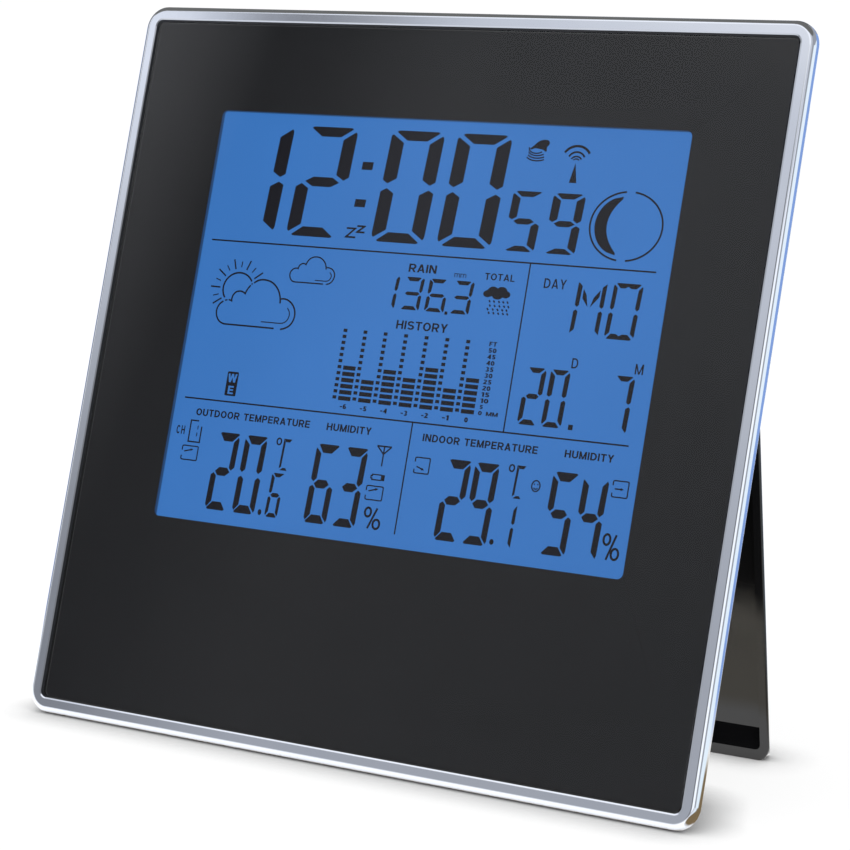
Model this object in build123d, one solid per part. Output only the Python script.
from build123d import *
import math
import os

# Free-standing home weather station with its hinged stand swung open.
# Every piece is drawn upright: x to the right, y up the front panel, and
# "depth" backwards from the front of the trim frame (z = -depth).
# At the end all is leaned back and set on the table: +Z up, front towards -Y,
# origin at the bottom, centred from front to back.

os.makedirs("parts", exist_ok=True)
parts = {}

# ------------------------------------------------------- shared dimensions
LEAN = 17.56          # degrees the front leans back
STAND_OPEN = 23.91    # degrees between the back of the case and the stand
BEYOND = 95.0         # reach of a cut, past every side of the case

FRAME_W, FRAME_H, FRAME_T = 177.0, 171.6, 2.6
FRAME_BACK_ROUND = 0.5
WINDOW_Y = 12.5       # centre of the display window

# case: each pair is the value at its front and at its back, linear between
CASE_FRONT, CASE_BACK = FRAME_T, 27.0
CASE_HALF_W = (86.6, 76.8)
CASE_TOP = (83.9, 79.5)
CASE_BOTTOM = (-83.9, -75.6)
CASE_CORNER = (4.6, 7.0)
WALL = 2.0
PLATE_BACK = 4.4      # back of the front plate
SPLIT = 9.0           # parting line between the two case halves
LOW_BACK = 21.7       # back of the case under the folded stand
STEP_Y = 7.1          # the case is full depth above this line

HINGE_Y, HINGE_DEPTH = 3.65, 24.0
BARREL_R, PIN_R = 3.0, 1.0
EAR_X, EAR_HALF, EAR_R = 61.0, 3.0, 2.75

PCB_FRONT, PCB_BACK = 10.9, 12.5
BOARD_SCREWS = [(side * 71.0, y) for side in (-1, 1) for y in (-53.0, 4.0, 61.0)]
TOP_SCREWS = [(-66.0, 71.5), (66.0, 71.5)]
LOW_SCREWS = [(-66.0, -66.5), (66.0, -66.5)]
SCREW_SEAT = 15.0     # depth under the heads of the case screws
SHANK_R = 0.97

LCD_POCKET_X, LCD_POCKET_Y = 64.8, (-42.8, 63.3)
ROD_Y, ROD_DEPTH, ROD_R = -66.0, 12.0, 4.0
BUZZER_X, BUZZER_Y = 28.5, 58.5
SENSOR_X, SENSOR_Y = 50.0, 60.0

CELL_R, CELL_LEN, CELL_NUB = 7.25, 49.5, 1.0
CELL_DEPTH = 17.45
CELL_END = 27.5                       # x of the shoulder at the nub end
CELLS = ((1, 21.5), (-1, 38.5))       # side the nub points to, y
CONTACT_X = CELL_END + CELL_NUB       # inner face of the contact plates
BOX_X, BOX_Y = 30.9, (11.2, 48.8)     # outside of the battery box
BOX_IN_X = 28.9

KEYS = {
    "mode": (-50.0, 46.0), "up": (-50.0, 32.0), "down": (-50.0, 18.0),
    "alarm": (50.0, 46.0), "channel": (50.0, 32.0), "history": (50.0, 18.0),
}
KEY_W, KEY_H, KEY_R, KEY_GAP = 8.6, 6.0, 1.2, 0.2
SNOOZE_X, SNOOZE_DEPTHS, SNOOZE_GAP = 22.0, (10.6, 17.4), 0.3
SNOOZE_AXIS = 14.3
SWITCH_X, SWITCH_Y = -50.0, 60.0      # unit slide switch


# ------------------------------------------------------------------ helpers
def span(half, centre=0.0):
    """Range reaching half to each side of the centre."""
    return (centre - half, centre + half)


def slab(w, h, r, depths, x=0.0, y=0.0):
    """Plate with rounded corners, between two depths."""
    front, back = depths
    return Pos(x, y, -back) * extrude(RectangleRounded(w, h, r), amount=back - front)


def block(xs, ys, depths):
    (x0, x1), (y0, y1), (d0, d1) = xs, ys, depths
    return Pos((x0 + x1) / 2, (y0 + y1) / 2, -(d0 + d1) / 2) * Box(x1 - x0, y1 - y0, d1 - d0)


def post(x, y, r, depths):
    """Cylinder running front to back."""
    front, back = depths
    return Pos(x, y, -(front + back) / 2) * Cylinder(r, back - front)


def rod_x(y, depth, r, xs):
    x0, x1 = xs
    return Pos((x0 + x1) / 2, y, -depth) * Rot(0, 90, 0) * Cylinder(r, x1 - x0)


def rod_y(x, depth, r, ys):
    y0, y1 = ys
    return Pos(x, (y0 + y1) / 2, -depth) * Rot(90, 0, 0) * Cylinder(r, y1 - y0)


def case_section(depth, inset):
    t = (depth - CASE_FRONT) / (CASE_BACK - CASE_FRONT)

    def blend(pair):
        return pair[0] + (pair[1] - pair[0]) * t

    top, bottom = blend(CASE_TOP) - inset, blend(CASE_BOTTOM) + inset
    corner = max(blend(CASE_CORNER) - inset, 1.0)
    width = 2 * (blend(CASE_HALF_W) - inset)
    return Pos(0, (top + bottom) / 2, -depth) * RectangleRounded(width, top - bottom, corner)


def case_body(front, back, inset=0.0):
    """Solid with the tapered outline of the case, shrunk by inset."""
    return loft([case_section(front, inset), case_section(back, inset)], ruled=True)


def edges_at(shape, depth):
    """Edges lying wholly in the plane at this depth."""
    found = []
    for edge in shape.edges():
        heights = [v.Z for v in edge.vertices()] + [(edge @ 0.5).Z]
        if all(abs(z + depth) < 1e-3 for z in heights):
            found.append(edge)
    return ShapeList(found)


def round_back(shape, depth, radius):
    return fillet(edges_at(shape, depth), radius)


def fuse(shapes):
    total = shapes[0]
    for shape in shapes[1:]:
        total = total + shape
    return total


def sweep_wire(path, r):
    return sweep(Plane(origin=path @ 0, z_dir=path % 0) * Circle(r), path=path)


def cross_screw(x, y, tip, seat, head_r, head_h, rounding, slot, slot_start):
    """Screw driven from the back; slot is (half length, half width)."""
    head_top = seat + head_h
    screw = post(x, y, SHANK_R, (tip, seat)) + post(x, y, head_r, (seat, head_top))
    screw = round_back(screw, head_top, rounding)
    slot_depths = (seat + slot_start, head_top + 1)
    for half_x, half_y in (slot, slot[::-1]):
        screw -= block(span(half_x, x), span(half_y, y), slot_depths)
    return screw


# ------------------------------------------- trim frame, lens and adhesive
OPENING_W, OPENING_H, OPENING_R = 170.2, 164.8, 1.7
BEVEL_W, BEVEL_T = 0.35, 0.08
LENS_W, LENS_H, LENS_R = 169.4, 164.0, 1.3
LENS_FRONT, LENS_BACK = 0.35, 2.15
MASK_BACK = LENS_BACK + 0.12


def make_frame():
    frame = slab(FRAME_W, FRAME_H, 5.4, (0, FRAME_T))
    frame = fillet(edges_at(frame, 0.0), 1.3)
    frame = round_back(frame, FRAME_T, FRAME_BACK_ROUND)
    frame -= slab(OPENING_W, OPENING_H, OPENING_R, (-1, FRAME_T + 1))
    # shallow bevel round the opening, started just in front of the face
    lift = 0.01
    grow = BEVEL_W * (1 + lift / BEVEL_T)
    frame -= loft(
        [
            Pos(0, 0, lift)
            * RectangleRounded(OPENING_W + 2 * grow, OPENING_H + 2 * grow, OPENING_R + grow),
            Pos(0, 0, -BEVEL_T) * RectangleRounded(OPENING_W, OPENING_H, OPENING_R),
        ],
        ruled=True,
    )
    return frame


def make_lens():
    lens = slab(LENS_W, LENS_H, LENS_R, (LENS_FRONT, LENS_BACK))
    return chamfer(edges_at(lens, LENS_FRONT), 0.15)


def make_mask():
    mask = slab(LENS_W - 0.3, LENS_H - 0.3, 1.2, (LENS_BACK, MASK_BACK))
    return mask - slab(124.6, 97.3, 1.4, span(1, LENS_BACK), 0.2, WINDOW_Y)


def make_adhesive():
    sheet = slab(LENS_W - 1.2, LENS_H - 1.2, 1.2, (MASK_BACK, CASE_FRONT))
    return sheet - slab(134.0, 108.0, 2.0, (0, 4), 0, WINDOW_Y)


parts["front_frame"] = make_frame()
parts["front_lens"] = make_lens()
parts["window_mask"] = make_mask()
parts["lens_adhesive"] = make_adhesive()

# --------------------------------------------------------------- front case
POST_ROOT = PLATE_BACK - 0.5    # posts and ribs start inside the plate


def make_front_case():
    case = case_body(CASE_FRONT, SPLIT) - case_body(PLATE_BACK, SPLIT + 0.001, WALL)
    case -= slab(126.3, 99.0, 2.0, (0, 6), 0, WINDOW_Y)
    case -= block(span(LCD_POCKET_X), LCD_POCKET_Y, (3.3, 6))
    for x, y in BOARD_SCREWS:
        case += post(x, y, 2.6, (POST_ROOT, PCB_FRONT))
        case -= post(x, y, 1.0, (5.2, PCB_FRONT + 1))
    for x, y in TOP_SCREWS + LOW_SCREWS:
        case += post(x, y, 3.0, (POST_ROOT, 13.0))
        case -= post(x, y, 1.0, (5.6, 14))
    # cradles for the ferrite rod
    for x in (-34.0, 34.0):
        case += block(span(1.5, x), span(6, ROD_Y), (POST_ROOT, 12.0))
    case -= rod_x(ROD_Y, ROD_DEPTH, ROD_R + 0.1, span(50))
    # stiffening ribs across the lower part of the plate
    for x in (-50.0, -17.0, 17.0, 50.0):
        case += block(span(0.6, x), (-81.0, -73.5), (POST_ROOT, 7.0))
    return case


parts["front_case"] = make_front_case()

# ------------------------------------------------------------ display stack
# half width, bottom y, top y, front depth, back depth
LAYERS = {
    "lcd_front_polariser": (63.6, -37.3, 62.3, 3.3, 3.5),
    "lcd_front_glass": (64.5, -42.5, 63.0, 3.5, 4.6),
    "lcd_rear_glass": (64.5, -37.5, 63.0, 4.6, 5.7),
    "lcd_rear_polariser": (63.8, -37.2, 62.6, 5.7, 5.9),
    "diffuser_film": (63.8, -37.2, 62.6, 5.9, 6.1),
    "light_guide": (63.8, -37.2, 62.6, 6.1, 9.1),
    "reflector_film": (63.8, -37.2, 62.6, 9.1, 9.25),
    "elastomer_strip": (61.0, -41.9, -39.5, 4.6, PCB_FRONT),
}
# x range, y range of the clips that keep the light guide down
CLIPS = (
    (span(4, -40.0), (61.2, 63.4)),
    (span(4, 40.0), (61.2, 63.4)),
    ((-64.9, -62.6), span(4, -10.0)),
)
LED_BACK_X = 65.3               # the LEDs stand on the backlight board here


def make_lcd_frame():
    frame = block(span(67.4), (-45.0, 65.2), (PLATE_BACK, 10.85))
    frame -= block(span(LCD_POCKET_X), LCD_POCKET_Y, (0, 20))
    # slot for the backlight board
    frame -= block((64.5, 66.2), (-32.3, 57.3), (5.9, 20))
    for xs, ys in CLIPS:
        frame += block(xs, ys, (9.35, 10.6))
    # bar between the light guide and the elastomer strip
    frame += block(span(64.9), (-38.9, -37.7), (5.8, 10.6))
    return frame


for name, (half_width, bottom, top, front, back) in LAYERS.items():
    parts[name] = block(span(half_width), (bottom, top), (front, back))
parts["backlight_board"] = block((LED_BACK_X, 66.1), (-32.0, 57.0), (6.0, 9.4))
parts["backlight_leds"] = fuse(
    [block((64.0, LED_BACK_X), span(2.0, y), (6.6, 8.6)) for y in (-22.0, 1.0, 24.0, 47.0)])
parts["lcd_frame"] = make_lcd_frame()


# --------------------------------------------------------------- main board
def on_board(height, base=0.0):
    """Depth range measured from the back face of the main board."""
    return (PCB_BACK + base, PCB_BACK + height)


def make_board():
    thickness = (PCB_FRONT, PCB_BACK)
    board = block(span(74), (-58, 65.5), thickness) + block(span(30), (60, 73.5), thickness)
    board = fillet(board.edges().filter_by(Axis.Z), 1.0)
    # the battery box passes through
    board -= block(span(BOX_X + 0.5), (BOX_Y[0] - 0.5, BOX_Y[1] + 0.5), (0, 30))
    for x, y in BOARD_SCREWS:
        board -= post(x, y, 1.25, (0, 30))
    return board


def rounded_post(x, y, r, height, rounding):
    return round_back(post(x, y, r, on_board(height)), PCB_BACK + height, rounding)


def make_buzzer():
    case = rounded_post(BUZZER_X, BUZZER_Y, 7.6, 5.2, 0.6)
    case -= post(BUZZER_X, BUZZER_Y, 6.7, on_board(4.0, -1))
    return case - post(BUZZER_X, BUZZER_Y, 1.2, on_board(6, 3.0))


def make_climate_sensor():
    sensor = block(span(3.5, SENSOR_X), span(3, SENSOR_Y), on_board(2.2))
    return sensor - post(SENSOR_X, SENSOR_Y, 1.2, on_board(3, 1.4))


parts["main_board"] = make_board()
parts["board_screws"] = fuse([
    cross_screw(x, y, tip=6.0, seat=PCB_BACK, head_r=2.1, head_h=1.4, rounding=0.5,
                slot=(1.3, 0.25), slot_start=0.8)
    for x, y in BOARD_SCREWS
])
parts["controller_blob"] = rounded_post(0, -14, 9.5, 1.7, 1.5)
parts["clock_crystal"] = rod_y(19.0, PCB_BACK + 1.15, 1.1, (-20.0, -12.5))
parts["capacitor"] = rounded_post(-24.0, -6.0, 2.6, 5.4, 0.4)
parts["climate_sensor"] = make_climate_sensor()
parts["buzzer_case"] = make_buzzer()
parts["buzzer_disc"] = post(BUZZER_X, BUZZER_Y, 6.5, on_board(1.85, 1.6))

# ---------------------------------------------------- receiver and aerials
RECEIVER_GAP = 2.0              # sub-board stands off the main board on pins
PIN_PITCH = 2.54
COIL_X, COIL_DEPTH = -40.0, PCB_BACK + 4.6
AERIAL_DEPTH = 16.2
AERIAL_POINTS = (               # x, y
    (-55.2, -40.0), (-69.5, -37.0), (-72.0, -8.0),
    (-70.5, 18.0), (-68.0, 40.0), (-58.5, 53.0),
)

parts["receiver_board"] = block(
    (-56, -32), (-52, -38), on_board(RECEIVER_GAP + 1, RECEIVER_GAP)
) if False else block((-56, -32), (-52, -38), on_board(RECEIVER_GAP + 1, RECEIVER_GAP))
parts["receiver_pins"] = fuse([
    block(span(0.3, -54.0 + PIN_PITCH * i), span(0.3, -50.5), on_board(RECEIVER_GAP))
    for i in range(4)
])
parts["receiver_coil"] = (rod_y(COIL_X, COIL_DEPTH, 1.6, (-48.5, -42.0))
                          - rod_y(COIL_X, COIL_DEPTH, 0.9, (-50, -40)))
parts["aerial_wire"] = sweep_wire(
    Pos(0, 0, -AERIAL_DEPTH) * FilletPolyline(*AERIAL_POINTS, radius=6.0), 0.6)
# ferrite rod aerial of the radio clock
parts["ferrite_rod"] = rod_x(ROD_Y, ROD_DEPTH, ROD_R, span(42.0))
parts["aerial_coil"] = (rod_x(ROD_Y, ROD_DEPTH, 5.4, span(14.0))
                        - rod_x(ROD_Y, ROD_DEPTH, ROD_R + 0.05, span(20)))

# ---------------------------------------------------------------- rear case
BACK_CUT = (24, 30)             # depth range of cuts through the back wall
KEYHOLE_Y, KEYHOLE_RISE = 62.0, 7.5


def make_rear_shell():
    """Stepped shell with the locating lip and the trough for the hinge."""
    rear = case_body(SPLIT, CASE_BACK)
    rear = round_back(rear, CASE_BACK, 1.2)
    rear -= block(span(BEYOND), (-BEYOND, STEP_Y), (LOW_BACK, 40))
    hollow = (case_body(SPLIT - 0.001, CASE_BACK - WALL, WALL)
              & block(span(BEYOND), (STEP_Y + WALL, BEYOND), (0, 60)))
    hollow += case_body(SPLIT - 0.001, LOW_BACK - WALL, WALL)
    rear -= hollow
    # inner lip that locates the front case, and the band joining it to the wall
    rear += (case_body(SPLIT - 1.3, SPLIT + 2.0, WALL + 0.15)
             - case_body(SPLIT - 1.4, SPLIT + 2.1, WALL + 1.2))
    rear += (case_body(SPLIT + 0.3, SPLIT + 2.0, WALL - 0.3)
             - case_body(SPLIT, SPLIT + 2.1, WALL + 1.0))
    return rear - rod_x(HINGE_Y, HINGE_DEPTH, BARREL_R + 0.3, span(BEYOND))


def add_battery_box(rear):
    rear += block(span(BOX_X), BOX_Y, (9.35, 25.5))
    rear -= block(span(BOX_IN_X), (13.0, 47.0), (10.1, 40))
    # rib between the cells
    rear += block((-28.95, 28.3), (29.4, 30.6), (10.0, 17.0))
    # door opening with a groove along each side, open at the step
    rear -= block(span(29.4), (0, 49.8), (25.0, 40))
    rear -= block(span(30.6), (0, 49.8), (25.3, 26.3))
    # slots for the tabs of the battery contacts
    for _, y in CELLS:
        rear -= block((-33, -28), span(1.1, y), (20.9, 21.7))
    return rear


def cut_openings(rear):
    for x, y in KEYS.values():
        rear -= slab(KEY_W + 2 * KEY_GAP, KEY_H + 2 * KEY_GAP, KEY_R + KEY_GAP, BACK_CUT, x, y)
    # slide switch: shallow pocket and slot
    rear -= slab(10.0, 5.0, 1.0, (26.2, 30), SWITCH_X, SWITCH_Y)
    rear -= block(span(2.4, SWITCH_X), span(1.3, SWITCH_Y), BACK_CUT)
    # snooze key slot in the top wall
    slot_depths = (SNOOZE_DEPTHS[0] - SNOOZE_GAP, SNOOZE_DEPTHS[1] + SNOOZE_GAP)
    rear -= block(span(SNOOZE_X + SNOOZE_GAP), (77.0, 90.0), slot_depths)
    # vents over the climate sensor
    for i in range(5):
        rear -= slab(15.0, 1.5, 0.7, BACK_CUT, SENSOR_X, 55.0 + 3.0 * i)
    # sound holes
    for i in range(3):
        rear -= slab(8.0, 1.3, 0.6, BACK_CUT, BUZZER_X, 56.0 + 2.6 * i)
    # wall-hanging keyhole
    slot_top = KEYHOLE_Y + KEYHOLE_RISE
    rear -= post(0, KEYHOLE_Y, 4.0, BACK_CUT)
    rear -= (block(span(2.0), (KEYHOLE_Y, slot_top), BACK_CUT)
             + post(0, slot_top, 2.0, BACK_CUT))
    return rear


def add_screw_towers(rear):
    for places, tower_back in ((TOP_SCREWS, 25.5), (LOW_SCREWS, 20.2)):
        for x, y in places:
            rear += post(x, y, 3.6, (13.05, tower_back))
            rear -= post(x, y, 2.5, (SCREW_SEAT, 30)) + post(x, y, 1.3, (12, 16))
    return rear


def add_hinge_ears(rear):
    for side in (-1, 1):
        xs = span(EAR_HALF, side * EAR_X)
        ear = rod_x(HINGE_Y, HINGE_DEPTH, EAR_R, xs)
        ear += block(xs, span(EAR_R, HINGE_Y), (20.2, HINGE_DEPTH))
        rear += ear
        rear -= rod_x(HINGE_Y, HINGE_DEPTH, PIN_R + 0.02, span(EAR_HALF + 1, side * EAR_X))
    return rear


parts["rear_case"] = add_hinge_ears(
    add_screw_towers(cut_openings(add_battery_box(make_rear_shell()))))
parts["case_screws"] = fuse([
    cross_screw(x, y, tip=7.0, seat=SCREW_SEAT, head_r=2.3, head_h=1.8, rounding=0.6,
                slot=(1.4, 0.3), slot_start=1.0)
    for x, y in TOP_SCREWS + LOW_SCREWS
])

# ------------------------------------------------- battery door and cells
PLATE_DEPTHS = (11.5, 23.0)     # contact plates
SPRING_TURNS, SPRING_R, SPRING_WIRE_R, SPRING_GAP = 3.5, 3.4, 0.35, 0.45
# x, y, depth along each battery wire
BATTERY_WIRES = {
    "red": [(-33.2, 21.5, 21.3), (-36.5, 19.0, 20.5), (-37.5, 12.0, 17.0), (-36.5, 6.0, 13.2)],
    "black": [(-33.2, 38.5, 21.3), (-38.5, 32.0, 20.3), (-41.5, 14.0, 17.0), (-40.5, 6.0, 13.2)],
}


def make_door():
    door = block(span(29.2), (STEP_Y + 0.3, 49.6), (25.2, CASE_BACK))
    door = fillet(door.edges().filter_by(Axis.Z), 0.8)
    door = round_back(door, CASE_BACK, 0.3)
    # grip grooves, then the rails along both sides
    for i in range(4):
        door -= slab(16.0, 1.0, 0.45, (CASE_BACK - 0.5, 30), 0, 14.0 + 2.2 * i)
    for side in (-1, 1):
        door += block(sorted((side * 28.5, side * 30.35)), (9.0, 48.0), (25.45, 26.15))
    return door


def make_cell(side, y):
    ends = sorted((side * CELL_END, side * (CELL_END - CELL_LEN)))
    cell = rod_x(y, CELL_DEPTH, CELL_R, ends)
    cell = fillet(cell.edges().filter_by(GeomType.CIRCLE), 0.6)
    nub = sorted((side * (CELL_END - 0.2), side * CONTACT_X))
    return cell + rod_x(y, CELL_DEPTH, 2.75, nub)


def make_contacts():
    contacts = block((CONTACT_X, BOX_IN_X), (15.0, 45.0), PLATE_DEPTHS)
    for _, y in CELLS:
        contacts += (block((-BOX_IN_X, -CONTACT_X), span(6.0, y), PLATE_DEPTHS)
                     + block((-32.6, -28.7), span(1.0, y), (21.0, 21.6)))
    return contacts


def make_spring(side, y):
    """Coil between the flat end of a cell and its contact plate."""
    left, right = sorted((-side * CONTACT_X, side * (CELL_END - CELL_LEN)))
    length = right - left - 2 * SPRING_GAP
    helix = Helix(pitch=length / SPRING_TURNS, height=length, radius=SPRING_R)
    profile = Plane(origin=helix @ 0, z_dir=helix % 0) * Circle(SPRING_WIRE_R)
    spring = sweep(profile, path=helix, is_frenet=True)
    return Pos(left + SPRING_GAP, y, -CELL_DEPTH) * Rot(0, 90, 0) * spring


parts["battery_door"] = make_door()
parts["battery_cells"] = fuse([make_cell(side, y) for side, y in CELLS])
parts["battery_contacts"] = make_contacts()
parts["battery_springs"] = fuse([make_spring(side, y) for side, y in CELLS])
for colour, points in BATTERY_WIRES.items():
    path = Spline(*[Vector(x, y, -depth) for x, y, depth in points])
    parts["battery_wire_" + colour] = sweep_wire(path, 0.55)

# -------------------------------------------------------- keys and switches
KEY_BACK = 27.7
STEM_FRONT = 17.2               # where key stem and plunger meet
SNOOZE_TOP = 83.2
KNOB_X, KNOB_BACK = -51.0, 26.8


def make_key(x, y):
    key = slab(KEY_W, KEY_H, KEY_R, (24.2, KEY_BACK), x, y)
    key = round_back(key, KEY_BACK, 0.5)
    key += slab(11.0, 8.2, 1.4, (23.6, 24.8), x, y)
    return key + post(x, y, 1.6, (STEM_FRONT, 23.7))


def make_key_switch(x, y):
    return block(span(3, x), span(3, y), (PCB_BACK, 16.0)) - post(x, y, 1.75, (14.4, 17))


def make_snooze_key():
    key = block(span(SNOOZE_X), (78.0, SNOOZE_TOP), SNOOZE_DEPTHS)
    key = fillet(key.edges().filter_by(Axis.Y), 1.2)
    top_edges = [e for e in key.edges() if abs((e @ 0.5).Y - SNOOZE_TOP) < 1e-3]
    key = fillet(ShapeList(top_edges), 0.5)
    key += block(span(24.0), (77.2, 78.8), (10.0, 18.0))
    return key + block(span(2.5), (75.0, 77.6), span(1.2, SNOOZE_AXIS))


def make_unit_knob():
    knob = block(span(1.0, KNOB_X), span(0.9, SWITCH_Y), (15.3, 26.2))
    knob += block(span(1.2, KNOB_X), span(1.1, SWITCH_Y), (25.3, KNOB_BACK))
    return round_back(knob, KNOB_BACK, 0.25)


for name, (x, y) in KEYS.items():
    parts["key_" + name] = make_key(x, y)
    parts["plunger_" + name] = post(x, y, 1.65, (15.0, STEM_FRONT))
parts["key_switches"] = fuse([make_key_switch(x, y) for x, y in KEYS.values()])
parts["snooze_key"] = make_snooze_key()
parts["snooze_plunger"] = rod_y(0, SNOOZE_AXIS, 0.95, (72.6, 75.0))
parts["snooze_switch"] = (block(span(3.5), (69.0, 73.5), (PCB_BACK, 16.4))
                          - rod_y(0, SNOOZE_AXIS, 1.05, (72.0, 75)))
parts["unit_switch_body"] = (
    block(span(5, SWITCH_X), span(3, SWITCH_Y), (PCB_BACK, 17.5))
    - block(span(2.3, SWITCH_X), span(1.1, SWITCH_Y), (15.0, 18)))
parts["unit_switch_knob"] = make_unit_knob()

# -------------------------------------------------------------------- stand
# drawn folded against the case
STAND_FRONT, STAND_BACK = 22.0, CASE_BACK
STAND_FRONT_X, STAND_BACK_X = 78.4, 76.1    # half widths of the plate
BARREL_X = 76.0                             # half length of the barrel
STAND_END_Y = -75.95
LAND_BACK = 22.6                            # the sides are square up to here
RECESS_X, RECESS_H, RECESS_BACK = 76.3, 70.25, 25.0
RECESS_Y = STAND_END_Y + 3.1                # bottom of the recess in the front


def round_plate(stand, depth, radius):
    """Round the edges at this depth, except the one along the hinge."""
    edges = [e for e in edges_at(stand, depth) if (e @ 0.5).Y < HINGE_Y - 0.5]
    return fillet(ShapeList(edges), radius)


def make_side_cut():
    """Cutter for the right side, sloping in towards the back."""
    slope = (STAND_FRONT_X - STAND_BACK_X) / (STAND_BACK - LAND_BACK)
    z_front, z_back = -(LAND_BACK - 1), -(STAND_BACK + 1)
    outline = Polyline(
        (STAND_FRONT_X + slope, z_front), (STAND_BACK_X - slope, z_back),
        (STAND_FRONT_X + 5, z_back), (STAND_FRONT_X + 5, z_front), close=True)
    cut = extrude(Plane.XZ * make_face(outline), amount=120, both=True)
    return cut - block((70, 90), span(130), (20, LAND_BACK))


def make_recess():
    """Shallow recess in the front, with a ramp left at its bottom end."""
    recess = slab(2 * RECESS_X, RECESS_H, 1.3, (21.0, RECESS_BACK), 0, RECESS_Y + RECESS_H / 2)
    outline = Polyline(
        (RECESS_Y - 0.3, -25.3), (RECESS_Y - 0.3, -22.05), (RECESS_Y, -22.05),
        (RECESS_Y + 4.1, -RECESS_BACK), (RECESS_Y + 4.1, -25.3), close=True)
    half = RECESS_X + 0.1
    return recess - Pos(-half, 0, 0) * extrude(Plane.YZ * make_face(outline), amount=2 * half)


def make_stand():
    top = HINGE_Y + 6           # drawn long, then cut square at the hinge line
    stand = slab(2 * STAND_FRONT_X, top - STAND_END_Y, 4.2, (STAND_FRONT, STAND_BACK),
                 0, (top + STAND_END_Y) / 2)
    stand &= block(span(80), (-90, HINGE_Y), (0, 40))
    stand = round_plate(stand, STAND_FRONT, 0.45)
    side_cut = make_side_cut()
    stand -= side_cut
    stand -= mirror(side_cut, about=Plane.YZ)
    stand = round_plate(stand, STAND_BACK, 0.8)
    barrel = rod_x(HINGE_Y, HINGE_DEPTH, BARREL_R, span(BARREL_X))
    barrel = fillet(barrel.edges().filter_by(GeomType.CIRCLE), 0.45)
    stand = (stand - make_recess()) + barrel
    stand -= rod_x(HINGE_Y, HINGE_DEPTH, PIN_R + 0.06, span(BARREL_X + 1))
    # notches for the hinge ears and for the sliding battery door
    for side in (-1, 1):
        stand -= block(span(EAR_HALF + 0.3, side * EAR_X), (-0.2, 12), (0, 40))
    return stand - block(span(36), (-9.0, 12), (0, 40))


parts["stand"] = make_stand()
parts["hinge_pins"] = fuse([
    rod_x(HINGE_Y, HINGE_DEPTH, PIN_R, sorted((side * 50.0, side * (BARREL_X - 0.4))))
    for side in (-1, 1)
])

# --------------------------------------------------- lean back and set down
# the rounded lower back edge of the trim frame rests on the table
lean = math.radians(LEAN)
rest_height = ((FRAME_H / 2 - FRAME_BACK_ROUND) * math.cos(lean)
               + (FRAME_T - FRAME_BACK_ROUND) * math.sin(lean) + FRAME_BACK_ROUND)
parts["stand"] = (Pos(0, HINGE_Y, -HINGE_DEPTH) * Rot(STAND_OPEN, 0, 0)
                  * Pos(0, -HINGE_Y, HINGE_DEPTH) * parts["stand"])
placed = {
    name: Pos(0, 0, rest_height) * Rot(90 - LEAN, 0, 0) * shape
    for name, shape in parts.items()
}
# the foot of the stand is cut flat to the table
placed["stand"] &= Pos(0, 0, 250) * Box(400, 800, 500)

boxes = [shape.bounding_box() for shape in placed.values()]
shift = -(min(box.min.Y for box in boxes) + max(box.max.Y for box in boxes)) / 2
for name, shape in placed.items():
    solids = (Pos(0, shift, 0) * shape).solids()
    piece = solids[0] if len(solids) == 1 else Compound(children=solids)
    export_step(piece, f"parts/{name}.step")
